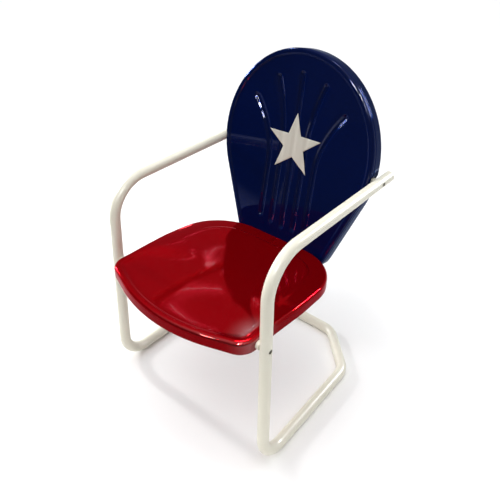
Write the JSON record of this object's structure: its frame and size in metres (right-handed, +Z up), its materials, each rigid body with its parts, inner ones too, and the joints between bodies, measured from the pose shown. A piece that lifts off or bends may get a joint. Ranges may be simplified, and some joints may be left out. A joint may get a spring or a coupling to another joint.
{
  "type": "metal lawn chair",
  "caption": "Retro pressed-steel lawn chair: dished seat pan and grooved rounded back between two springy bent tubes that form the arms and the floor loop.",
  "frame": {"origin": "on the floor, under the middle of the chair's outer box", "axes": "+Z up, the sitter faces -Y, +X is at the sitter's left"},
  "size_m": [0.5706, 0.6158, 0.8916],
  "materials": {
    "frame_white": "satin off-white powder coat",
    "seat_red": "glossy deep red enamel",
    "back_navy": "glossy navy blue enamel",
    "star_grey": "satin light grey paint",
    "zinc_steel": "bright zinc plate"
  },
  "bodies": {
    "base": {"left_runner": "frame_white", "right_runner": "frame_white", "rear_crossbar": "frame_white", "left_foot_bend": "frame_white", "right_foot_bend": "frame_white"},
    "sprung": {"left_arm_tube": "frame_white", "left_arm_cap": "frame_white", "left_seat_bolt": "zinc_steel", "left_seat_spacer": "frame_white", "left_seat_washer": "zinc_steel", "left_seat_nut": "zinc_steel", "left_back_bolt": "zinc_steel", "left_back_spacer": "frame_white", "left_back_washer": "zinc_steel", "left_back_nut": "zinc_steel", "right_arm_tube": "frame_white", "right_arm_cap": "frame_white", "right_seat_bolt": "zinc_steel", "right_seat_spacer": "frame_white", "right_seat_washer": "zinc_steel", "right_seat_nut": "zinc_steel", "right_back_bolt": "zinc_steel", "right_back_spacer": "frame_white", "right_back_washer": "zinc_steel", "right_back_nut": "zinc_steel", "seat_pan": "seat_red", "back_panel": "back_navy", "back_star": "star_grey", "join_bolt_1": "zinc_steel", "join_washer_1": "zinc_steel", "join_nut_1": "zinc_steel", "join_bolt_2": "zinc_steel", "join_washer_2": "zinc_steel", "join_nut_2": "zinc_steel", "join_bolt_3": "zinc_steel", "join_washer_3": "zinc_steel", "join_nut_3": "zinc_steel"}
  },
  "joints": [
    {"name": "frame_spring", "type": "hinge", "parent": "base", "child": "sprung", "pos_m": [0, -0.20288, 0.036], "axis": [-1, 0, 0], "range_deg": [-1, 4], "stiffness_Nm_per_rad": 2600, "springref_deg": -0.41, "deforming": ["left_foot_bend", "right_foot_bend"]}
  ]
}
